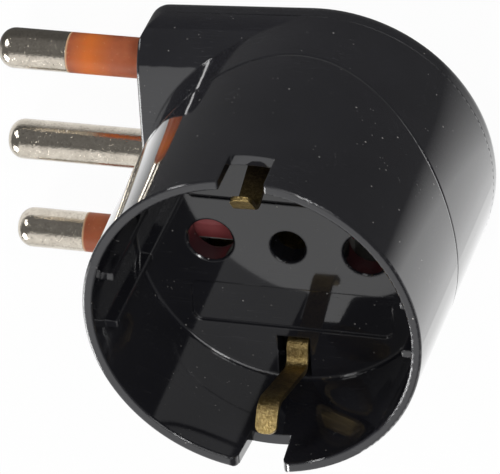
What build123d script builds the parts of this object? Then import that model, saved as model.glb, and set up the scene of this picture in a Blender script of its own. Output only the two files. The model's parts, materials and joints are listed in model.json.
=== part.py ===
"""Angled plug adapter: an earthed round socket whose three pins leave at a right angle to it."""
from build123d import *
import os
from math import acos, atan2, cos, hypot, radians, sin, sqrt

# Frame: the origin is the middle of the flat back, on the socket's axis.
# +Z points out of the socket's mouth, the pins point along -X and the top notch is at +Y.

# Overall form
body_radius = 20.85
body_taper = 0.85
plug_face_reach = 0.35
plug_end_draw_in = 1.25
plug_corner_radius = 2.4
plug_face_edge_radius = 0.35
back_edge_radius = 2.3
rim_wall = 1.25
rim_radius = 0.25
recess_corner_radius = 0.4

# Joint between the back cover and the housing, in the plane of the pins' axes
parting_height = 3.6

# Heights that stack up to the body's height, from the bed for the contact carrier
bed_height = 7.0
carrier_thickness = 1.0
mechanism_height = 11.1
floor_thickness = 3.0
recess_depth = 17.5

# Domed end of the housing's collar, and the joint that it makes with the socket body
collar_drop = 17.5
dome_radius = 26.6
seam_gap = 0.12
collar_edge_radius = 0.35

# Pin block
block_height = 9.9
block_crown = 0.35
shoulder_radius = 5.6

# Holes in the recess floor
outer_hole_spacing = 19.0
outer_hole_radius = 2.8
centre_hole_radius = 2.1
hole_bevel = 0.2

# Slots for the earth clips in the recess floor, and the notches in the rim
slot_half_width = 2.0
slot_length = 5.55
slot_wall_gap = 0.45
top_notch_width = 5.3
top_notch_depth = 5.4
top_notch_corner = 0.2
bottom_notch_width = 5.5
bottom_notch_base_width = 4.8
bottom_notch_depth = 5.9
bottom_notch_corner = 1.0

# Label fields sunk in the recess floor
field_wall_gap = 6.45
field_slot_gap = 1.15
field_height = 5.7
field_depth = 0.35
field_corner_radius = 1.2

# Pairs of guide ribs on the recess wall, at both ends of the row of holes
guide_depth = 1.85
guide_thickness = 1.0
guide_spacing = 6.6
guide_drop = 3.1
guide_edge_radius = 0.3

# Spigot of the socket body, inside the collar
spigot_step = 0.35
spigot_wall = 1.3
spigot_clearance = 0.15
spigot_foot_gap = 1.0

# Pins
pin_pitch = 13.0
pin_radius = 2.5
pin_length = 19.0
pin_tip_radius = 1.9
pin_root_radius = 2.2
pin_seat_clearance = 0.05
pin_inner_length = 7.4
pin_groove_radius = 1.7
pin_groove_width = 1.6
pin_groove_from_face = 3.6
tail_radius = 1.2
tail_length = 1.5
sleeve_length = 10.1
sleeve_inside_length = 2.0
sleeve_bore_radius = 1.7

# Room inside the housing
housing_wall = 2.4
inner_corner_radius = 0.8
cover_floor = 1.6

# Contact carrier
carrier_clearance = 0.2
tower_wall = 0.9
pin_path_radius = 2.8
earth_opening_half_x = 3.8
earth_opening_half_y = 3.9

# Brass strips, and the spring contacts
strip_thickness = 0.6
contact_width = 4.6
contact_half_base = 3.0
contact_collar_height = 3.0
contact_half_pinch = 1.9
contact_half_lip = 2.7
contact_lip_length = 1.6
contact_bend_radius = 0.8
contact_foot_length = 3.2
contact_room = 0.25
contact_gap = 0.4
link_width = 4.2
link_gap = 0.6
tab_clearance = 0.1
tab_foot_gap = 0.2
riser_width = 4.0
riser_wall_gap = 0.4
neutral_lane_inset = 5.1
rivet_radius = 0.9
rivet_head_radius = 1.6
rivet_head_height = 0.45

# Earth strap
strap_width = 2.6
strap_skew = 2.2
strap_shift_y = 0.65
strap_base_bend = 0.9
strap_leg_bend = 0.9
clip_foot_bend = 1.5
clip_neck_bend = 2.3
leg_slot_inset = 4.25
clip_foot_inset = 1.25
clip_leg_rise = 0.2
clip_foot_rise = 1.1
clip_lean = 3.8
clip_neck_drop = 3.7
clip_pad_reach = 2.9
clip_tip_drop = 1.4
clip_tip_corner = 1.0

# Shutter and its spring
shutter_thickness = 2.2
far_blade_thickness = 1.4
far_blade_drop = 2.4
shutter_gap = 0.2
shutter_lip_y = -2.5
blade_half_width = 3.4
blade_ramp_length = 2.6
blade_ramp_drop = 1.2
bridge_near_y = 2.9
bridge_width = 2.4
spring_radius = 0.9
spring_wire_radius = 0.12
spring_turns = 5
spring_seat_gap = 0.05
stop_thickness = 0.75
stop_half_width = 2.2

# Screws
cover_screw_wall_gap = 1.6
cover_screw_angle = 56.0
bed_screw_inset = 5.7
screw_radius = 1.0
screw_hole_clearance = 0.05
screw_head_radius = 2.0
screw_head_height = 0.8
screw_recess_depth = 1.0
screw_recess_clearance = 0.2
boss_radius = 2.0
cover_screw_bite = 6.0
bed_screw_bite = 3.0
screw_tip_gap = 0.4
screw_tip_chamfer = 0.3
cross_length = 2.4
cross_width = 0.5
cross_depth = 0.5

# How far a cut runs past the face that it opens, and a joined piece into its carrier
overcut = 1.0
root = 0.5

# Heights that follow from the ones above
carrier_top_z = bed_height + carrier_thickness
floor_under_z = carrier_top_z + mechanism_height
recess_floor_z = floor_under_z + floor_thickness
body_height = recess_floor_z + recess_depth
collar_top_z = body_height - collar_drop
dome_axis_z = collar_top_z - dome_radius
spigot_foot_z = carrier_top_z + spigot_foot_gap
link_top_z = carrier_top_z + strip_thickness
shutter_top_z = floor_under_z - shutter_gap
shutter_under_z = shutter_top_z - shutter_thickness
far_blade_top_z = shutter_top_z - far_blade_drop
far_blade_under_z = far_blade_top_z - far_blade_thickness
contact_top_z = far_blade_under_z - contact_gap
strap_top_z = cover_floor + strip_thickness
earth_link_top_z = strap_top_z + strip_thickness

# Widths and places that follow
mouth_radius = body_radius - body_taper
recess_radius = mouth_radius - rim_wall
spigot_outer_radius = recess_radius + spigot_step
spigot_inner_radius = spigot_outer_radius - spigot_wall
collar_bore_radius = spigot_outer_radius + spigot_clearance
plug_face_x = -body_radius - plug_face_reach
plug_end_half_width = body_radius - plug_end_draw_in
hole_x = outer_hole_spacing / 2
slot_far_y = recess_radius - slot_wall_gap
slot_near_y = slot_far_y - slot_length
pin_inner_x = plug_face_x + pin_inner_length
pin_tip_x = plug_face_x - pin_length
tail_end_x = pin_inner_x + tail_length
sleeve_start_x = plug_face_x - sleeve_length
sleeve_end_x = plug_face_x + sleeve_inside_length
groove_start_x = plug_face_x + pin_groove_from_face
groove_end_x = groove_start_x + pin_groove_width
riser_outer_y = sqrt(collar_bore_radius ** 2 - pin_inner_x ** 2) - riser_wall_gap
riser_inner_y = riser_outer_y - riser_width
neutral_lane_y = neutral_lane_inset - riser_outer_y
contact_reach = contact_width / 2 + strip_thickness
rivet_reach = contact_reach + contact_foot_length / 2
bridge_far_y = bridge_near_y + bridge_width
spring_stop_y = slot_near_y - stop_thickness
draft_slope = body_taper / (body_height - parting_height)
pin_rows = (pin_pitch, 0.0, -pin_pitch)


def outer_radius(z):
    """Radius of the outside at a height: upright to the parting line, then an even draft."""
    return body_radius - draft_slope * max(0, z - parting_height)


def upright(radius, low, high, x=0.0, y=0.0):
    """A cylinder along Z between two heights."""
    return Pos(x, y, (low + high) / 2) * Cylinder(radius, high - low)


def lengthwise(radius, start, end, y=0.0, z=0.0):
    """A cylinder along X between two places."""
    return Pos((start + end) / 2, y, z) * Rot(0, 90, 0) * Cylinder(radius, end - start)


def block(x_range, y_range, z_range):
    """A plain box between pairs of limits."""
    centre = [sum(pair) / 2 for pair in (x_range, y_range, z_range)]
    size = [pair[1] - pair[0] for pair in (x_range, y_range, z_range)]
    return Pos(*centre) * Box(*size)


def outer_cone(low, high, inset=0.0):
    """The round outside between two heights, drawn in by an inset."""
    profile = Polyline((0, 0, low), (outer_radius(low) - inset, 0, low),
                       (outer_radius(high) - inset, 0, high), (0, 0, high), close=True)
    return revolve(make_face(profile), Axis.Z)


def dome(extra=0.0):
    """The cylinder along X under whose top the collar ends."""
    return lengthwise(dome_radius + extra, -3 * body_radius, 3 * body_radius, z=dome_axis_z)


def back_outline(inset=0.0):
    """The outline of the back: round at +X, with sides that run straight in to the plug end."""
    radius = body_radius - inset
    face = plug_face_x + inset
    half = plug_end_half_width - inset
    corner = max(plug_corner_radius - inset, inner_corner_radius)
    touch = atan2(half, face) - acos(radius / hypot(half, face))
    touch_point = (radius * cos(touch), radius * sin(touch))
    arc = ThreePointArc((touch_point[0], -touch_point[1]), (radius, 0), touch_point)
    ends = Polyline(touch_point, (face, half), (face, -half), (touch_point[0], -touch_point[1]))
    outline = make_face([arc, *ends.edges()])
    return fillet(outline.vertices().filter_by(lambda v: v.X < face + 0.01), corner)


def with_screw_holes(part, places, low, high, radius):
    """Bores a hole along Z at each place."""
    for x, y in places:
        part -= upright(radius, low, high, x, y)
    return part


cover_screw_reach = spigot_inner_radius - cover_screw_wall_gap
cover_screw_x = cover_screw_reach * cos(radians(cover_screw_angle))
cover_screw_y = cover_screw_reach * sin(radians(cover_screw_angle))
cover_screw_places = [(cover_screw_x, cover_screw_y), (cover_screw_x, -cover_screw_y)]
bed_screw_x = plug_face_x + bed_screw_inset
bed_screw_places = [(bed_screw_x, pin_pitch / 2), (bed_screw_x, -pin_pitch / 2)]


def pin_seats():
    """The room that the pins take in the pin block, with a rib left in each pin's groove."""
    seats = []
    for y in pin_rows:
        bore = lengthwise(pin_root_radius + pin_seat_clearance, plug_face_x - overcut,
                          pin_inner_x + pin_seat_clearance, y, parting_height)
        ends = (groove_start_x + pin_seat_clearance, groove_end_x - pin_seat_clearance)
        rib = (lengthwise(pin_root_radius + overcut, *ends, y, parting_height)
               - lengthwise(pin_groove_radius + pin_seat_clearance, *ends, y, parting_height))
        seats.append(bore - rib)
    return seats


# Back cover

def inner_room(low, high):
    """The room for the links, inside the pin block and the walls."""
    room = extrude(Pos(0, 0, low) * back_outline(housing_wall), high - low)
    return room & block((pin_inner_x, 2 * body_radius), (-2 * body_radius, 2 * body_radius),
                        (low, high))


def make_rear_cover():
    """Closes the back: its rounded edge shows, and it holds the lower half of each pin."""
    cover = extrude(back_outline(), parting_height)
    cover = fillet(cover.edges().group_by(Axis.Z)[0], back_edge_radius)
    cover -= inner_room(cover_floor, parting_height + overcut)
    for seat in pin_seats():
        cover -= seat
    for x, y in cover_screw_places:
        cover += upright(boss_radius, cover_floor, bed_height, x, y)
    hole = screw_radius + screw_hole_clearance
    recess = screw_head_radius + screw_recess_clearance
    places = cover_screw_places + bed_screw_places
    cover = with_screw_holes(cover, places, -overcut, bed_height + overcut, hole)
    return with_screw_holes(cover, places, -overcut, screw_recess_depth, recess)


# Housing

def block_profile(x, half):
    """Section of the pin block across the pins: a slight crown between round shoulders."""
    shoulder_z = block_height - block_crown
    side = half - (shoulder_z - parting_height) * draft_slope
    profile = Polyline((x, -half, parting_height), (x, -side, shoulder_z), (x, side, shoulder_z),
                       (x, half, parting_height), close=True)
    face = make_face(profile)
    corners = face.vertices().group_by(Axis.Z)[-1]
    face = fillet(corners, shoulder_radius)
    flat = side - shoulder_radius
    crown = make_face([ThreePointArc((x, -flat, shoulder_z), (x, 0, block_height),
                                     (x, flat, shoulder_z)),
                       Line((x, flat, shoulder_z), (x, -flat, shoulder_z))])
    return (face + crown).face()


def make_rear_housing():
    """The collar round the socket and the block that holds the pins."""
    collar = outer_cone(parting_height, collar_top_z + overcut) & dome()
    rim = collar.edges().filter_by(lambda edge: edge.center().Z > bed_height)
    collar = fillet(rim, collar_edge_radius)
    pin_block = loft([block_profile(plug_face_x, plug_end_half_width),
                      block_profile(0, body_radius)], ruled=True)
    face_edges = pin_block.faces().sort_by(Axis.X)[0].edges().sort_by(Axis.Z)[1:]
    pin_block = fillet(face_edges, plug_face_edge_radius)
    pin_block &= extrude(Pos(0, 0, parting_height) * back_outline(), block_height)
    housing = collar + pin_block
    housing -= upright(collar_bore_radius, bed_height, body_height)
    housing -= inner_room(0, bed_height + overcut)
    for seat in pin_seats():
        housing -= seat
    bite = parting_height + bed_screw_bite
    return with_screw_holes(housing, bed_screw_places, 0, bite, screw_radius)


# Socket body

def recess_guides():
    """Four upright ribs on the recess wall, with rounded free edges."""
    low = recess_floor_z - root
    top = body_height - guide_drop
    inner_x = recess_radius - guide_depth
    rib = block((inner_x, recess_radius + overcut), (-guide_thickness / 2, guide_thickness / 2),
                (low, top))
    rib = fillet(rib.edges().filter_by(Axis.Z).group_by(Axis.X)[0], guide_edge_radius)
    wall = upright(spigot_outer_radius, low, body_height)
    ribs = []
    for turn in (0, 180):
        for y in (-guide_spacing / 2, guide_spacing / 2):
            ribs.append(Rot(0, 0, turn) * (Pos(0, y, 0) * rib & wall))
    return ribs


def notch(width, base_width, depth, corner, side):
    """A notch through the recess wall, with rounded corners at the rim."""
    half = width / 2
    outline = make_face(Polyline((-base_width / 2, -depth), (-half, 0), (half, 0),
                                 (base_width / 2, -depth), close=True))
    flare = Pos(0, (overcut - corner) / 2) * Rectangle(width + 2 * corner, overcut + corner)
    for x in (-half - corner, half + corner):
        flare -= Pos(x, -corner) * Circle(corner)
    return extrude(Plane.XZ * Pos(0, body_height) * (outline + flare), side * -2 * body_radius)


def make_socket_body():
    """The round recess with its floor, and below it the spigot that the collar takes."""
    inner = spigot_inner_radius
    skin_foot = dome_axis_z + sqrt(dome_radius ** 2 - body_radius ** 2) - overcut
    profile = make_face(Polyline(
        (0, 0, floor_under_z), (inner, 0, floor_under_z), (inner, 0, spigot_foot_z),
        (spigot_outer_radius, 0, spigot_foot_z), (spigot_outer_radius, 0, skin_foot),
        (outer_radius(skin_foot), 0, skin_foot), (mouth_radius, 0, body_height),
        (recess_radius, 0, body_height), (recess_radius, 0, recess_floor_z),
        (0, 0, recess_floor_z), close=True))
    profile = fillet(profile.vertices().group_by(Axis.Z)[-1], rim_radius)
    floor_corner = profile.vertices().sort_by_distance((recess_radius, 0, recess_floor_z))[0]
    profile = fillet(floor_corner, recess_corner_radius)
    body = revolve(profile, Axis.Z)
    body -= dome(seam_gap) - upright(spigot_outer_radius, 0, body_height)
    for guide in recess_guides():
        body += guide
    for x in (-hole_x, hole_x):
        body = body_with_hole(body, x, outer_hole_radius)
    body = body_with_hole(body, 0, centre_hole_radius)
    field = RectangleRounded(2 * (recess_radius - field_wall_gap), field_height,
                             field_corner_radius)
    for side in (1, -1):
        middle = side * (slot_near_y - field_slot_gap - field_height / 2)
        body -= extrude(Pos(0, middle, recess_floor_z - field_depth) * field, 2 * field_depth)
        body -= block((-slot_half_width, slot_half_width),
                      sorted((side * slot_near_y, side * slot_far_y)),
                      (floor_under_z - overcut, recess_floor_z + overcut))
    body -= notch(top_notch_width, top_notch_width, top_notch_depth, top_notch_corner, 1)
    body -= notch(bottom_notch_width, bottom_notch_base_width, bottom_notch_depth,
                  bottom_notch_corner, -1)
    for x, y in cover_screw_places:
        body += upright(boss_radius, carrier_top_z + carrier_clearance, floor_under_z + root, x, y)
    bite_top = carrier_top_z + carrier_clearance + cover_screw_bite
    body = with_screw_holes(body, cover_screw_places, 0, bite_top, screw_radius)
    body += block((-stop_half_width, stop_half_width), (spring_stop_y, slot_near_y),
                  (shutter_under_z, floor_under_z + root))
    return body


def body_with_hole(body, x, radius):
    """A hole through the recess floor with a small bevel at its mouth."""
    body -= upright(radius, floor_under_z - overcut, recess_floor_z + overcut, x)
    middle_z = recess_floor_z - hole_bevel / 2
    return body - Pos(x, 0, middle_z) * Cone(radius, radius + hole_bevel, hole_bevel)


# Pins

def make_pin(y, sleeved):
    """A turned pin: round tip, a neck for its sleeve, a grooved root and a riveted tail."""
    head_end = sleeve_start_x if sleeved else plug_face_x
    root_start = sleeve_end_x if sleeved else plug_face_x
    pin = lengthwise(pin_radius, pin_tip_x, head_end, y, parting_height)
    pin = fillet(pin.edges().group_by(Axis.X)[0], pin_tip_radius)
    steps = [(pin_root_radius, root_start, groove_start_x),
             (pin_groove_radius, groove_start_x, groove_end_x),
             (pin_root_radius, groove_end_x, pin_inner_x),
             (tail_radius, pin_inner_x, tail_end_x)]
    if sleeved:
        steps.append((sleeve_bore_radius, head_end, root_start))
    for radius, start, end in steps:
        pin += lengthwise(radius, start, end, y, parting_height)
    return pin


def make_sleeve(y):
    """An insulating sleeve, flush with the pin, whose root goes into the pin block."""
    sleeve = lengthwise(pin_radius, sleeve_start_x, plug_face_x, y, parting_height)
    sleeve += lengthwise(pin_root_radius, plug_face_x, sleeve_end_x, y, parting_height)
    return sleeve - lengthwise(sleeve_bore_radius, sleeve_start_x, sleeve_end_x, y, parting_height)


# Contacts and links

def folded_strip(points, width, bend_radii):
    """A strip folded along a path in the YZ plane, with its width along X."""
    path = FilletPolyline(*[(0, y, z) for y, z in points], radius=bend_radii)
    section = Plane(origin=path @ 0, x_dir=(1, 0, 0), z_dir=path % 0)
    return sweep(section * Rectangle(width, strip_thickness), path=path)


def make_contact(height):
    """A contact for a round pin: two spring blades rise from a bent collar with a foot.

    It stands at the origin, open at both ends for the pin, with its foot towards +X.
    """
    half = contact_half_base - strip_thickness / 2
    pinch = contact_half_pinch + strip_thickness / 2
    low = contact_collar_height - strip_thickness
    points = [(half, 0), (half, low), (pinch, height - contact_lip_length),
              (contact_half_lip, height)]
    blade = folded_strip(points, contact_width, contact_bend_radius)
    collar_start = contact_width / 2
    back = block((collar_start, contact_reach), (-contact_half_base, contact_half_base),
                 (0, contact_collar_height))
    foot = block((collar_start, contact_reach + contact_foot_length),
                 (-link_width / 2, link_width / 2), (0, strip_thickness))
    contact = blade + mirror(blade, Plane.XZ) + back + foot
    return contact - upright(rivet_radius, -overcut, strip_thickness + overcut, rivet_reach)


def link_tab(side):
    """The upright end of a link: riveted over a pin's tail, then rising inside the collar."""
    near = pin_inner_x + tab_clearance
    x_range = (near, near + strip_thickness)
    half = link_width / 2
    centre = side * pin_pitch
    tab = block(x_range, (centre - half, centre + half),
                (parting_height - half + tab_foot_gap, parting_height + half))
    tab += block(x_range, sorted((side * riser_inner_y, side * riser_outer_y)),
                 (parting_height, link_top_z))
    return tab - tail_hole(centre)


def tail_hole(y):
    """The hole in a tab for a pin's tail."""
    return lengthwise(tail_radius + tab_clearance / 2, pin_inner_x - overcut,
                      tail_end_x + overcut, y, parting_height)


def rivet_hole(x, y, top_z):
    """The hole in a link for a rivet."""
    return upright(rivet_radius, top_z - strip_thickness - overcut, top_z + overcut, x, y)


def make_line_link():
    """From the line pin up and across to the foot of the line contact."""
    near = pin_inner_x + tab_clearance
    half = link_width / 2
    level = (carrier_top_z, link_top_z)
    link = link_tab(1)
    link += block((near, -hole_x + half), (riser_inner_y, riser_outer_y), level)
    link += block((-hole_x - half, -hole_x + half), (contact_reach, riser_outer_y), level)
    return link - rivet_hole(-hole_x, rivet_reach, link_top_z)


def make_neutral_link():
    """From the neutral pin up, along and across to the foot of the neutral contact."""
    near = pin_inner_x + tab_clearance
    half = link_width / 2
    level = (carrier_top_z, link_top_z)
    lane = (neutral_lane_y - half, neutral_lane_y + half)
    link = link_tab(-1)
    link += block((near, near + link_width), (-riser_outer_y, lane[1]), level)
    link += block((near, hole_x + half), lane, level)
    link += block((hole_x - half, hole_x + half), (lane[0], -contact_reach), level)
    return link - rivet_hole(hole_x, -rivet_reach, link_top_z)


def make_earth_link():
    """From the earth pin down and along to the earth strap, on top of it."""
    near = pin_inner_x + tab_clearance
    half = link_width / 2
    link = block((near, near + strip_thickness), (-half, half),
                 (strap_top_z, parting_height + half))
    link += block((near, strap_width / 2), (-half, half), (strap_top_z, earth_link_top_z))
    link -= tail_hole(0)
    return link - rivet_hole(-rivet_reach, 0, earth_link_top_z)


def make_earth_strap():
    """One strap whose two ends rise through the floor slots as the side earth clips."""
    base = cover_floor + strip_thickness / 2
    leg_y = slot_far_y - leg_slot_inset
    foot_y = slot_far_y - clip_foot_inset
    neck_y = foot_y - clip_lean
    tip_y = neck_y + clip_pad_reach
    half_path = [(leg_y, base), (leg_y, recess_floor_z + clip_leg_rise),
                 (foot_y, recess_floor_z + clip_foot_rise),
                 (neck_y, body_height - clip_neck_drop), (tip_y, body_height - clip_tip_drop)]
    bends = [strap_base_bend, strap_leg_bend, clip_foot_bend, clip_neck_bend]
    points = [(-y, z) for y, z in reversed(half_path)] + half_path
    strap = folded_strip(points, strap_width, list(reversed(bends)) + bends)
    corners = clip_corners(*half_path[-2:])
    strap -= corners
    strap -= mirror(corners, Plane.XZ)
    return Pos(0, strap_shift_y, 0) * Rot(0, 0, strap_skew) * strap


def clip_corners(neck, tip):
    """What rounding takes off the corners of one clip's tip, square to the clip's surface."""
    rise_y, rise_z = tip[0] - neck[0], tip[1] - neck[1]
    surface = Plane(origin=(0, *tip), x_dir=(1, 0, 0), z_dir=(0, -rise_z, rise_y))
    end = Rectangle(2 * strap_width, 2 * clip_tip_corner)
    end -= Pos(0, -strap_width) * RectangleRounded(strap_width, 2 * strap_width, clip_tip_corner)
    return extrude(surface * end, strip_thickness, both=True)


def make_rivet(x, y, low, high):
    """A rivet with a flat head at each end."""
    return (upright(rivet_radius, low, high, x, y)
            + upright(rivet_head_radius, low - rivet_head_height, low, x, y)
            + upright(rivet_head_radius, high, high + rivet_head_height, x, y))


# Carrier

def contact_tower(side, top_z):
    """A walled well round a live contact and its foot; the line side is at -X."""
    x = -side * hole_x
    half_x = contact_half_base + contact_room
    near_y = -side * (contact_width / 2 + contact_room)
    far_y = side * (contact_reach + contact_foot_length + contact_room)
    y_range = sorted((near_y, far_y))
    outside = block((x - half_x - tower_wall, x + half_x + tower_wall),
                    (y_range[0] - tower_wall, y_range[1] + tower_wall), (carrier_top_z, top_z))
    inside = block((x - half_x, x + half_x), y_range, (carrier_top_z, top_z + overcut))
    return outside - inside


def make_contact_carrier():
    """Insulating tray between the earth strap and the live links, with a tower per contact."""
    tray = upright(collar_bore_radius - carrier_clearance, bed_height, carrier_top_z)
    tray += contact_tower(1, shutter_under_z - shutter_gap)
    tray += contact_tower(-1, far_blade_under_z - shutter_gap)
    tray -= block((-earth_opening_half_x, earth_opening_half_x),
                  (-earth_opening_half_y, earth_opening_half_y), (0, body_height))
    lane = link_width / 2 + link_gap
    link_room_z = (carrier_top_z, link_top_z + rivet_head_height)
    riser_room_x = (pin_inner_x - link_gap, pin_inner_x + strip_thickness + 2 * link_gap)
    for side in (1, -1):
        x = -side * hole_x
        tray -= block((x - lane, x + lane), sorted((side * contact_reach, side * body_radius)),
                      link_room_z)
        tray -= block(riser_room_x, sorted((side * (riser_inner_y - link_gap),
                                            side * (riser_outer_y + link_gap))),
                      (0, link_top_z))
        tray -= block((-slot_half_width, slot_half_width),
                      sorted((side * slot_near_y, side * slot_far_y)), (0, body_height))
        tray -= upright(pin_path_radius, 0, carrier_top_z + overcut, x)
        rivet_y = side * rivet_reach
        tray -= upright(rivet_head_radius + carrier_clearance, 0, bed_height + rivet_head_height,
                        x, rivet_y)
        tray -= upright(rivet_radius, 0, carrier_top_z + overcut, x, rivet_y)
    tray -= block((0, hole_x), (neutral_lane_y - lane, neutral_lane_y + lane), link_room_z)
    hole = screw_radius + screw_hole_clearance
    return with_screw_holes(tray, cover_screw_places, 0, carrier_top_z + overcut, hole)


# Shutter

def make_shutter():
    """Sliding shutter: a ramped blade under each outer hole, joined past the centre hole."""
    near_blade = make_blade(-hole_x, shutter_top_z, shutter_thickness)
    far_blade = make_blade(hole_x, far_blade_top_z, far_blade_thickness)
    bridge = block((-hole_x - blade_half_width, hole_x + blade_half_width),
                   (bridge_near_y, bridge_far_y), (shutter_under_z, shutter_top_z))
    riser = block((hole_x - blade_half_width, hole_x + blade_half_width),
                  (bridge_near_y, bridge_far_y), (far_blade_under_z, shutter_top_z))
    return near_blade + far_blade + bridge + riser


def make_blade(x, top_z, thickness):
    """One blade, whose ramp falls towards its straight lip."""
    low_z = top_z - thickness
    side = make_face(Polyline(
        (x, shutter_lip_y, low_z), (x, shutter_lip_y, top_z - blade_ramp_drop),
        (x, shutter_lip_y + blade_ramp_length, top_z), (x, bridge_far_y, top_z),
        (x, bridge_far_y, low_z), close=True))
    return extrude(side, blade_half_width, both=True)


def make_shutter_spring():
    """Coil spring between the bridge and the stop under the floor."""
    start = bridge_far_y + spring_wire_radius + spring_seat_gap
    length = spring_stop_y - spring_wire_radius - spring_seat_gap - start
    coil = Helix(pitch=length / spring_turns, height=length, radius=spring_radius)
    section = Plane(origin=coil @ 0, z_dir=coil % 0) * Circle(spring_wire_radius)
    spring = sweep(section, path=coil, is_frenet=True)
    middle_z = (shutter_top_z + shutter_under_z) / 2
    return Pos(0, start, middle_z) * Rot(-90, 0, 0) * spring


# Screws

def make_screws(places, tip_z):
    """Screws up from the back, with a cross in each head."""
    screws = []
    seat = screw_recess_depth
    for x, y in places:
        head = upright(screw_head_radius, seat - screw_head_height, seat, x, y)
        for angle in (0, 90):
            bar = Box(cross_length, cross_width, 2 * cross_depth)
            head -= Pos(x, y, seat - screw_head_height) * Rot(0, 0, angle) * bar
        tip = upright(screw_radius, seat, tip_z, x, y)
        screws.append(head + chamfer(tip.edges().group_by(Axis.Z)[-1], screw_tip_chamfer))
    return Compound(children=screws)


def build_parts():
    """All nodes by name."""
    live_contact = make_contact(contact_top_z - link_top_z)
    earth_contact = make_contact(contact_top_z - earth_link_top_z)
    rivet_low = bed_height + rivet_head_height
    rivet_high = link_top_z + strip_thickness
    cover_screw_tip = carrier_top_z + carrier_clearance + cover_screw_bite - screw_tip_gap
    bed_screw_tip = parting_height + bed_screw_bite - screw_tip_gap
    return {
        "rear_cover": make_rear_cover(),
        "rear_housing": make_rear_housing(),
        "socket_body": make_socket_body(),
        "line_pin": make_pin(pin_pitch, True),
        "neutral_pin": make_pin(-pin_pitch, True),
        "earth_pin": make_pin(0, False),
        "line_pin_sleeve": make_sleeve(pin_pitch),
        "neutral_pin_sleeve": make_sleeve(-pin_pitch),
        "line_contact": Pos(-hole_x, 0, link_top_z) * Rot(0, 0, 90) * live_contact,
        "neutral_contact": Pos(hole_x, 0, link_top_z) * Rot(0, 0, -90) * live_contact,
        "earth_contact": Pos(0, 0, earth_link_top_z) * Rot(0, 0, 180) * earth_contact,
        "line_link": make_line_link(),
        "neutral_link": make_neutral_link(),
        "earth_link": make_earth_link(),
        "earth_strap": make_earth_strap(),
        "line_rivet": make_rivet(-hole_x, rivet_reach, rivet_low, rivet_high),
        "neutral_rivet": make_rivet(hole_x, -rivet_reach, rivet_low, rivet_high),
        "earth_rivet": make_rivet(-rivet_reach, 0, strap_top_z,
                                  earth_link_top_z + strip_thickness),
        "contact_carrier": make_contact_carrier(),
        "shutter": make_shutter(),
        "shutter_spring": make_shutter_spring(),
        "cover_screws": make_screws(cover_screw_places, cover_screw_tip),
        "bed_screws": make_screws(bed_screw_places, bed_screw_tip),
    }


os.makedirs("parts", exist_ok=True)
for name, part in build_parts().items():
    export_step(part, f"parts/{name}.step")
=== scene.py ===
"""Looks for the angled plug adapter: materials, floor, light and the photograph's camera."""
import json
import math
import bpy
from mathutils import Matrix, Vector


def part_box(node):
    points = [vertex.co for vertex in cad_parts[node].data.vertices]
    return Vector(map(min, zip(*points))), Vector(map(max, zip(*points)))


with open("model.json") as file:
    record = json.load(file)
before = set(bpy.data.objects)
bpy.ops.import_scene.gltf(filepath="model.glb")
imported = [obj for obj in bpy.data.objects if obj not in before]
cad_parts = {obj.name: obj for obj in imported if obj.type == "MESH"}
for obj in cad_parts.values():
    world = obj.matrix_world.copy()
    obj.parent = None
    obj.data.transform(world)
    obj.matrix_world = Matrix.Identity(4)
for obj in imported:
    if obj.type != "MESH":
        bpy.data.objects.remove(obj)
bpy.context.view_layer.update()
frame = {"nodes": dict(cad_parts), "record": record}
MM = 0.001

# Camera, fitted to the photograph from the adapter's standard sizes
CAMERA_PLACE = Vector((0.1064, 0.2472, 0.3885))
CAMERA_RIGHT = Vector((0.96545, -0.05651, -0.25439))
CAMERA_UP = Vector((-0.09212, 0.83917, -0.53601))
CAMERA_BACK = Vector((0.24377, 0.54093, 0.80497))
CAMERA_LENS = 278.35
CAMERA_NEAR = 0.05
CAMERA_FAR = 20.0
SENSOR_WIDTH = 36.0

# Colours, in linear light
BLACK_DEEP = (0.011, 0.011, 0.014, 1)
BLACK_HAZY = (0.0155, 0.0155, 0.019, 1)
SCRATCH = (0.09, 0.09, 0.095, 1)
DUST = (0.5, 0.48, 0.45, 1)
NICKEL_DULL = (0.58, 0.53, 0.45, 1)
NICKEL_BRIGHT = (0.7, 0.64, 0.55, 1)
STEEL_DULL = (0.42, 0.42, 0.44, 1)
STEEL_BRIGHT = (0.6, 0.6, 0.62, 1)
PLATING_SPECKLE = (0.32, 0.29, 0.25, 1)
PLATING_PIT = (0.2, 0.17, 0.13, 1)
BRASS_CLEAN = (0.38, 0.27, 0.1, 1)
BRASS_DARK_TARNISH_AND_SHADE = (0.075, 0.052, 0.034, 1)
BRASS_SPECK = (0.75, 0.58, 0.27, 1)
SLEEVE_DARK = (0.3, 0.07, 0.026, 1)
SLEEVE_LIGHT = (0.42, 0.11, 0.04, 1)
SLEEVE_PAINTED_GLOW = (0.68, 0.16, 0.012, 1)
SLEEVE_FLECK = (0.7, 0.38, 0.2, 1)
SLEEVE_RIM = (0.8, 0.52, 0.32, 1)
CARRIER_DARK = (0.4, 0.4, 0.38, 1)
CARRIER_LIGHT = (0.5, 0.5, 0.47, 1)
SHUTTER_DARK = (0.42, 0.085, 0.09, 1)
SHUTTER_LIGHT = (0.6, 0.17, 0.175, 1)

# How far sharp edges look rounded
PLASTIC_EDGE = 0.3 * MM
METAL_EDGE = 0.12 * MM

# Black plastic: how strongly its marks show, and its two glossy layers
FINE_DUST_SHARE = 0.5
DUST_SHOWN = 0.6
SCRATCHES_SHOWN = 0.22
MARKS_ROUGHEN = 0.3
SCRATCH_WIDTH = 0.006
SCRATCH_LENGTH = 30
BLACK_ROUGHNESS = (0.045, 0.075)
COAT_IOR = 1.4
COAT_ROUGHNESS = 0.04

# Plated metal: roughness in its dull and bright patches, and how strongly its marks show
NICKEL_ROUGHNESS = (0.18, 0.1)
STEEL_ROUGHNESS = (0.33, 0.25)
SPECKLE_SHOWN = 0.45
PITS_SHOWN = 0.6
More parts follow.
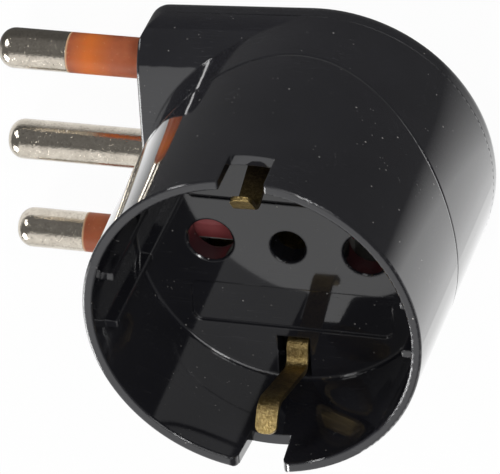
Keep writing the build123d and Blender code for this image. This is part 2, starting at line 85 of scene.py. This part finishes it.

# Brass: heights between which the earth strap's clips get a painted shade, dark brown like
# tarnish, and where that fades
PAINTED_SHADE_FOOT_Z = 23.6 * MM
PAINTED_SHADE_TIP_Z = 36.6 * MM
PAINTED_SHADE_FOOT_FADE = 3 * MM
PAINTED_SHADE_TIP_FADE = 5 * MM
CLIP_PAINTED_SHADE = 0.92
BLOTCH_TARNISH = 0.55
SPECKS_ON_CLEAN = 0.6
SPECKS_ON_TARNISH_AND_SHADE = 0.12
BRASS_ROUGHNESS = (0.3, 0.5)

# Sleeves: the painted glow (light through the plastic, painted into its colour) near the line
# pin's metal end and the pale rim, from that end
PAINTED_GLOW_RISES = (0.6 * MM, 2.6 * MM)
PAINTED_GLOW_FALLS = (3.2 * MM, 6.0 * MM)
PAINTED_GLOW_SIDE = (0, 5 * MM)
RIM_FADES = (0.08 * MM, 0.3 * MM)
PAINTED_GLOW_SHOWN = 0.75
FLECKS_SHOWN = 0.3
RIM_SHOWN = 0.7
SLEEVE_ROUGHNESS = (0.44, 0.55)

# Plain moulded plastic of the hidden carrier and the shutter
CARRIER_ROUGHNESS = (0.4, 0.5)
SHUTTER_ROUGHNESS = (0.3, 0.4)

# Floor: its corners, its paint, how much of its white the camera sees, and how bright a glossy
# surface sees it: a painted shade in front, standing in for the object's shadow in reflections,
# rising to plain white behind, from the front to the back of a short stretch in Y
FLOOR_LOW = (-3.0, -6.0)
FLOOR_HIGH = (3.0, 0.075)
FLOOR_COLOUR = (0.86, 0.86, 0.86, 1)
FLOOR_GLOW_SEEN = 0.96
# Painted shade in reflections: the floor's glow for glossy rays in front, rising to full white
# behind
PAINTED_SHADE_REFLECTED_FRONT = 0.1
REFLECTED_BACK = 1.0
PAINTED_SHADE_FRONT_Y = 15 * MM
PAINTED_SHADE_ENDS_Y = 3 * MM

# Light: the room's level, and each lamp's direction from the object, width and height in
# metres, and brightness
ROOM_LIGHT = 0.16
WHITE = 1.0
LAMP_AIM = Vector((0, 0, 20 * MM))
LAMP_DISTANCE = 0.9
LAMPS = {
    "wall": ((-0.279, -0.689, 0.669), (0.66, 1.5), 0.8),
    "key": ((-0.675, -0.527, 0.512), (0.3, 0.3), 16.0),
    "fill": ((0.3, 0.52, 0.8), (0.6, 0.6), 2.3),
    "left_glint": ((-0.71, 0.6, 0.37), (0.12, 0.4), 14.0),
    "right_glint": ((0.45, 0.66, 0.6), (0.16, 0.16), 18.0),
}


# Node helpers

class Nodes:
    """A short way to build one material's node tree. Scales are in features a metre."""

    def __init__(self, name):
        self.material = bpy.data.materials.new(name)
        self.material.use_nodes = True
        self.tree = self.material.node_tree
        self.tree.nodes.clear()
        self.output = self.tree.nodes.new("ShaderNodeOutputMaterial")
        self.shader = self.tree.nodes.new("ShaderNodeBsdfPrincipled")
        self.join(self.shader.outputs[0], self.output.inputs[0])
        self.place = self.tree.nodes.new("ShaderNodeTexCoord").outputs["Object"]

    def join(self, source, target):
        self.tree.links.new(source, target)

    def feed(self, name, source):
        """Joins a source to one of the shader's sockets."""
        self.join(source, self.shader.inputs[name])

    def set(self, **values):
        """Sets plain values on the shader, with underscores for the spaces in their names."""
        for name, value in values.items():
            self.shader.inputs[name.replace("_", " ")].default_value = value

    def scaled(self, scale, turn=(0, 0, 0)):
        """The object's coordinates, turned by so many degrees and scaled along each axis."""
        node = self.tree.nodes.new("ShaderNodeMapping")
        node.vector_type = "POINT"
        self.join(self.place, node.inputs["Vector"])
        node.inputs["Rotation"].default_value = [math.radians(angle) for angle in turn]
        node.inputs["Scale"].default_value = scale
        return node.outputs[0]

    def noise(self, scale, detail, roughness=0.5, vector=None):
        """Soft noise over the object's coordinates, or over others."""
        node = self.tree.nodes.new("ShaderNodeTexNoise")
        self.join(self.place if vector is None else vector, node.inputs["Vector"])
        node.inputs["Scale"].default_value = scale
        node.inputs["Detail"].default_value = detail
        node.inputs["Roughness"].default_value = roughness
        return node.outputs[0]

    def specks(self, scale, size, patch_scale, patch_detail, cover):
        """Round specks in some patches: 1 in a speck, fading to 0 over the range of sizes."""
        node = self.tree.nodes.new("ShaderNodeTexVoronoi")
        self.join(self.place, node.inputs["Vector"])
        node.inputs["Scale"].default_value = scale
        patches = self.remap(self.noise(patch_scale, patch_detail), cover)
        return self.times(self.remap(node.outputs["Distance"], size, (1, 0)), patches)

    def hairlines(self, turn, spacing, cover):
        """Fine long scratches in one direction: 1 on a scratch, in patches."""
        scale = (spacing, spacing * SCRATCH_LENGTH, spacing * SCRATCH_LENGTH)
        lines = self.noise(1.0, 1.0, vector=self.scaled(scale, turn))
        offset = self.math("ABSOLUTE", self.math("SUBTRACT", lines, 0.5))
        patches = self.noise(1.0, 2.0, vector=self.scaled((160, 160, 160), turn))
        return self.times(self.remap(offset, (0, SCRATCH_WIDTH), (1, 0)),
                          self.remap(patches, cover))

    def remap(self, value, source, target=(0, 1)):
        """A value moved from one range to another and kept inside it."""
        node = self.tree.nodes.new("ShaderNodeMapRange")
        self.join(value, node.inputs["Value"])
        for name, number in zip(("From Min", "From Max", "To Min", "To Max"), source + target):
            node.inputs[name].default_value = number
        return node.outputs[0]

    def spread(self, share, target):
        """A range of values, by a share from 0 to 1."""
        return self.remap(share, (0, 1), target)

    def math(self, operation, first, second=None):
        """Arithmetic on a source and a second one, which may be a number or missing."""
        node = self.tree.nodes.new("ShaderNodeMath")
        node.operation = operation
        self.join(first, node.inputs[0])
        if isinstance(second, (int, float)):
            node.inputs[1].default_value = second
        elif second is not None:
            self.join(second, node.inputs[1])
        return node.outputs[0]

    def times(self, first, second):
        return self.math("MULTIPLY", first, second)

    def larger(self, first, second):
        return self.math("MAXIMUM", first, second)

    def mix(self, factor, first, second):
        """A colour between two, by a factor."""
        node = self.tree.nodes.new("ShaderNodeMix")
        node.data_type = "RGBA"
        self.join(factor, node.inputs["Factor"])
        for socket, value in ((node.inputs[6], first), (node.inputs[7], second)):
            if isinstance(value, tuple):
                socket.default_value = value
            else:
                self.join(value, socket)
        return node.outputs[2]

    def bump(self, height, distance, strength, before=None):
        """Normals bent by a height in metres, after others."""
        node = self.tree.nodes.new("ShaderNodeBump")
        self.join(height, node.inputs["Height"])
        node.inputs["Distance"].default_value = distance
        node.inputs["Strength"].default_value = strength
        if before is not None:
            self.join(before, node.inputs["Normal"])
        return node.outputs[0]

    def along(self, axis):
        """One of the object's own coordinates, in metres."""
        node = self.tree.nodes.new("ShaderNodeSeparateXYZ")
        self.join(self.place, node.inputs[0])
        return node.outputs[axis]

    def edges(self, radius):
        """Normals that round off sharp edges."""
        node = self.tree.nodes.new("ShaderNodeBevel")
        node.samples = 4
        node.inputs["Radius"].default_value = radius
        return node.outputs[0]


# Materials

def black_plastic():
    """Deep glossy black moulding with fine dust, faint hairlines and softened edges."""
    nodes = Nodes("black_plastic")
    fine = nodes.specks(scale=1400, size=(0.09, 0.16), patch_scale=480, patch_detail=3.0,
                        cover=(0.56, 0.66))
    coarse = nodes.specks(scale=560, size=(0.045, 0.075), patch_scale=230, patch_detail=2.0,
                          cover=(0.48, 0.56))
    dust = nodes.larger(nodes.times(fine, FINE_DUST_SHARE), coarse)
    scratches = nodes.larger(
        nodes.hairlines(turn=(20, 35, 40), spacing=60, cover=(0.52, 0.6)),
        nodes.hairlines(turn=(-50, 10, 110), spacing=50, cover=(0.56, 0.64)))
    haze = nodes.remap(nodes.noise(scale=90, detail=4.0), (0.35, 0.7))
    colour = nodes.mix(haze, BLACK_DEEP, BLACK_HAZY)
    colour = nodes.mix(nodes.times(scratches, SCRATCHES_SHOWN), colour, SCRATCH)
    colour = nodes.mix(nodes.times(dust, DUST_SHOWN), colour, DUST)
    nodes.feed("Base Color", colour)
    marks = nodes.times(nodes.larger(dust, scratches), MARKS_ROUGHEN)
    nodes.feed("Roughness", nodes.math("ADD", nodes.spread(haze, BLACK_ROUGHNESS), marks))
    rounded = nodes.edges(PLASTIC_EDGE)
    nodes.feed("Coat Normal", rounded)
    waves = nodes.bump(nodes.noise(scale=140, detail=1.0), distance=0.05 * MM,
                       strength=0.35, before=rounded)
    grain = nodes.bump(nodes.noise(scale=5200, detail=2.0), distance=0.004 * MM,
                       strength=0.3, before=waves)
    nodes.feed("Normal", nodes.bump(dust, distance=0.03 * MM, strength=0.5, before=grain))
    nodes.set(IOR=1.5, Coat_Weight=1.0, Coat_IOR=COAT_IOR, Coat_Roughness=COAT_ROUGHNESS)
    return nodes.material


def plated_metal(name, dull, bright, roughness):
    """Plated metal with a fine speckle, sparse pits, lengthwise marks and dull patches."""
    nodes = Nodes(name)
    marks = nodes.noise(scale=1.0, detail=2.0, vector=nodes.scaled((120, 3200, 3200)))
    speckle = nodes.noise(scale=3700, detail=2.0, roughness=0.7)
    patches = nodes.remap(nodes.noise(scale=520, detail=4.0, roughness=0.6), (0.35, 0.65))
    pits = nodes.specks(scale=2600, size=(0.1, 0.24), patch_scale=900, patch_detail=3.0,
                        cover=(0.52, 0.62))
    speckled = nodes.remap(speckle, (0.5, 0.72), (0, SPECKLE_SHOWN))
    colour = nodes.mix(patches, dull, bright)
    colour = nodes.mix(speckled, colour, PLATING_SPECKLE)
    colour = nodes.mix(nodes.times(pits, PITS_SHOWN), colour, PLATING_PIT)
    nodes.feed("Base Color", colour)
    nodes.feed("Roughness", nodes.spread(patches, roughness))
    lines = nodes.bump(marks, distance=0.002 * MM, strength=0.3,
                       before=nodes.edges(METAL_EDGE))
    uneven = nodes.math("SUBTRACT", speckle, pits)
    nodes.feed("Normal", nodes.bump(uneven, distance=0.032 * MM, strength=1.0, before=lines))
    nodes.set(Metallic=1.0)
    return nodes.material


def rolled_brass():
    """Brass strip, tarnished in blotches, with a painted shade along the clips' middles, and
    bright at their ends.
    """
    nodes = Nodes("brass")
    rolling = nodes.noise(scale=1.0, detail=2.0, vector=nodes.scaled((2600, 160, 160)))
    blotches = nodes.remap(nodes.noise(scale=420, detail=5.0, roughness=0.65), (0.36, 0.66))
    speckle = nodes.remap(nodes.noise(scale=3000, detail=3.0, roughness=0.7), (0.42, 0.66))
    height = nodes.along(2)
    # Painted shade: the clips darkened between two heights, where they sit in shade, in the
    # colour of tarnish
    clip_painted_shade = nodes.times(
        nodes.remap(height, (PAINTED_SHADE_FOOT_Z, PAINTED_SHADE_FOOT_Z + PAINTED_SHADE_FOOT_FADE)),
        nodes.remap(height, (PAINTED_SHADE_TIP_Z - PAINTED_SHADE_TIP_FADE, PAINTED_SHADE_TIP_Z), (1, 0)))
    # Real tarnish in random blotches, joined with the painted shade of the clips
    tarnish_and_painted_shade = nodes.larger(nodes.times(clip_painted_shade, CLIP_PAINTED_SHADE),
                           nodes.times(blotches, BLOTCH_TARNISH))
    bright_specks = nodes.times(
        speckle, nodes.spread(tarnish_and_painted_shade, (SPECKS_ON_CLEAN, SPECKS_ON_TARNISH_AND_SHADE)))
    colour = nodes.mix(tarnish_and_painted_shade, BRASS_CLEAN, BRASS_DARK_TARNISH_AND_SHADE)
    nodes.feed("Base Color", nodes.mix(bright_specks, colour, BRASS_SPECK))
    uneven = nodes.math("ADD", tarnish_and_painted_shade, rolling)
    nodes.feed("Roughness", nodes.remap(uneven, (0.2, 1.6), BRASS_ROUGHNESS))
    lines = nodes.bump(rolling, distance=0.008 * MM, strength=0.5,
                       before=nodes.edges(METAL_EDGE))
    nodes.feed("Normal", nodes.bump(speckle, distance=0.04 * MM, strength=0.8, before=lines))
    nodes.set(Metallic=1.0)
    return nodes.material


def amber_plastic():
    """Translucent orange-brown sleeve, cloudy inside, with a painted glow near the metal end of
    its pin.
    """
    nodes = Nodes("sleeve_plastic")
    clouds = nodes.remap(nodes.noise(scale=260, detail=3.0), (0.35, 0.65))
    flecks = nodes.remap(nodes.noise(scale=3000, detail=2.0), (0.66, 0.74))
    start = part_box("line_pin_sleeve")[0][0]
    reach = nodes.math("SUBTRACT", nodes.along(0), start)
    # Painted glow: light shining through the sleeve, painted into its colour near the pin's
    # metal end and fading out in Y
    painted_glow = nodes.times(nodes.remap(reach, PAINTED_GLOW_RISES), nodes.remap(reach, PAINTED_GLOW_FALLS, (1, 0)))
    painted_glow = nodes.times(painted_glow, nodes.remap(nodes.along(1), PAINTED_GLOW_SIDE))
    rim = nodes.remap(reach, RIM_FADES, (1, 0))
    colour = nodes.mix(clouds, SLEEVE_DARK, SLEEVE_LIGHT)
    for part, share, tint in ((painted_glow, PAINTED_GLOW_SHOWN, SLEEVE_PAINTED_GLOW),
                              (flecks, FLECKS_SHOWN, SLEEVE_FLECK),
                              (rim, RIM_SHOWN, SLEEVE_RIM)):
        colour = nodes.mix(nodes.times(part, share), colour, tint)
    nodes.feed("Base Color", colour)
    nodes.feed("Roughness", nodes.spread(clouds, SLEEVE_ROUGHNESS))
    grain = nodes.noise(scale=1500, detail=2.0)
    nodes.feed("Normal", nodes.bump(grain, distance=0.01 * MM, strength=0.5,
                                    before=nodes.edges(METAL_EDGE)))
    nodes.set(IOR=1.38, Subsurface_Weight=0.3, Subsurface_Scale=1 * MM)
    return nodes.material


def moulded_plastic(name, dark, light, roughness):
    """Plain moulded plastic with a slight mottle and a fine spark texture."""
    nodes = Nodes(name)
    mottle = nodes.remap(nodes.noise(scale=300, detail=4.0), (0.3, 0.7))
    nodes.feed("Base Color", nodes.mix(mottle, dark, light))
    nodes.feed("Roughness", nodes.spread(mottle, roughness))
    grain = nodes.noise(scale=4000, detail=2.0)
    nodes.feed("Normal", nodes.bump(grain, distance=0.01 * MM, strength=0.5))
    nodes.set(IOR=1.48)
    return nodes.material


def make_materials():
    """Every material slot of the record, by name."""
    return {
        "black_plastic": black_plastic(),
        "nickel": plated_metal("nickel", NICKEL_DULL, NICKEL_BRIGHT, NICKEL_ROUGHNESS),
        "sleeve_plastic": amber_plastic(),
        "brass": rolled_brass(),
        "carrier_plastic": moulded_plastic("carrier_plastic", CARRIER_DARK, CARRIER_LIGHT,
                                           CARRIER_ROUGHNESS),
        "shutter_plastic": moulded_plastic("shutter_plastic", SHUTTER_DARK, SHUTTER_LIGHT,
                                           SHUTTER_ROUGHNESS),
        "screw_steel": plated_metal("screw_steel", STEEL_DULL, STEEL_BRIGHT, STEEL_ROUGHNESS),
    }


def dress_nodes(materials):
    """Gives each CAD node the material of its slot."""
    slot_of = {part["node"]: part["material_slot"] for part in frame["record"]["subparts"]}
    for name, node in frame["nodes"].items():
        node.data.materials.clear()
        node.data.materials.append(materials[slot_of[name]])


# Stage

def add_to_scene(name, data):
    """An object with the given data, in the scene."""
    thing = bpy.data.objects.new(name, data)
    bpy.context.scene.collection.objects.link(thing)
    return thing


def make_camera():
    """The photograph's camera."""
    data = bpy.data.cameras.new("camera")
    data.lens = CAMERA_LENS
    data.sensor_width = SENSOR_WIDTH
    data.clip_start = CAMERA_NEAR
    data.clip_end = CAMERA_FAR
    camera = add_to_scene("camera", data)
    turn = Matrix((CAMERA_RIGHT, CAMERA_UP, CAMERA_BACK)).transposed()
    camera.matrix_world = Matrix.Translation(CAMERA_PLACE) @ turn.to_4x4()
    bpy.context.scene.camera = camera


def make_floor():
    """A pale floor, which is near white to the camera and still takes the shadow, and shows
    glossy surfaces a painted shade in front of the object.
    """
    mesh = bpy.data.meshes.new("floor")
    corners = [(FLOOR_LOW[0], FLOOR_LOW[1], 0), (FLOOR_HIGH[0], FLOOR_LOW[1], 0),
               (FLOOR_HIGH[0], FLOOR_HIGH[1], 0), (FLOOR_LOW[0], FLOOR_HIGH[1], 0)]
    mesh.from_pydata(corners, [], [(0, 1, 2, 3)])
    add_to_scene("floor", mesh)
    mesh.materials.append(floor_material())


def floor_material():
    """Paint, mixed with a glow for what the camera and glossy surfaces see of it: plain white
    to the camera, and to glossy surfaces a painted shade in front that rises to white behind.
    """
    material = bpy.data.materials.new("floor")
    material.use_nodes = True
    tree = material.node_tree
    tree.nodes.clear()
    join = tree.links.new
    output = tree.nodes.new("ShaderNodeOutputMaterial")
    paint = tree.nodes.new("ShaderNodeBsdfDiffuse")
    paint.inputs["Color"].default_value = FLOOR_COLOUR
    painted_glow = tree.nodes.new("ShaderNodeEmission")
    path = tree.nodes.new("ShaderNodeLightPath")
    split = tree.nodes.new("ShaderNodeSeparateXYZ")
    join(tree.nodes.new("ShaderNodeTexCoord").outputs["Object"], split.inputs[0])
    # Painted shade for glossy rays: the glow's strength by the floor's Y, dark in front of the
    # object where its shadow falls, white behind
    level = tree.nodes.new("ShaderNodeMapRange")
    for name, number in (("From Min", PAINTED_SHADE_FRONT_Y), ("From Max", PAINTED_SHADE_ENDS_Y),
                         ("To Min", PAINTED_SHADE_REFLECTED_FRONT), ("To Max", REFLECTED_BACK)):
        level.inputs[name].default_value = number
    join(split.outputs["Y"], level.inputs["Value"])
    strength = tree.nodes.new("ShaderNodeMath")
    strength.operation = "MAXIMUM"
    join(level.outputs[0], strength.inputs[0])
    join(path.outputs["Is Camera Ray"], strength.inputs[1])
    join(strength.outputs[0], painted_glow.inputs["Strength"])
    share = tree.nodes.new("ShaderNodeMath")
    share.operation = "MULTIPLY_ADD"
    share.inputs[1].default_value = FLOOR_GLOW_SEEN
    join(path.outputs["Is Camera Ray"], share.inputs[0])
    join(path.outputs["Is Glossy Ray"], share.inputs[2])
    mixed = tree.nodes.new("ShaderNodeMixShader")
    for source, socket in ((share, 0), (paint, 1), (painted_glow, 2)):
        join(source.outputs[0], mixed.inputs[socket])
    join(mixed.outputs[0], output.inputs[0])
    return material


def make_world():
    """A dim room, which the camera sees as the white of the floor."""
    world = bpy.data.worlds.new("studio")
    world.use_nodes = True
    tree = world.node_tree
    background = tree.nodes["Background"]
    background.inputs["Color"].default_value = (1, 1, 1, 1)
    path = tree.nodes.new("ShaderNodeLightPath")
    level = tree.nodes.new("ShaderNodeMapRange")
    level.inputs["To Min"].default_value = ROOM_LIGHT
    level.inputs["To Max"].default_value = WHITE
    tree.links.new(path.outputs["Is Camera Ray"], level.inputs["Value"])
    tree.links.new(level.outputs[0], background.inputs["Strength"])
    bpy.context.scene.world = world


def make_lamp(name, towards, size, radiance):
    """A soft rectangular lamp in a direction from the object, with a given brightness."""
    data = bpy.data.lights.new(name, "AREA")
    data.shape = "RECTANGLE"
    data.size, data.size_y = size
    data.energy = radiance * math.pi * size[0] * size[1]
    lamp = add_to_scene(name, data)
    direction = Vector(towards).normalized()
    lamp.location = LAMP_AIM + LAMP_DISTANCE * direction
    lamp.rotation_euler = (-direction).to_track_quat("-Z", "Y").to_euler()
    lamp.visible_camera = False


make_camera()
dress_nodes(make_materials())
make_floor()
make_world()
for lamp_name, (towards, size, radiance) in LAMPS.items():
    make_lamp(lamp_name, towards, size, radiance)

bpy.context.scene.view_settings.view_transform = "Standard"
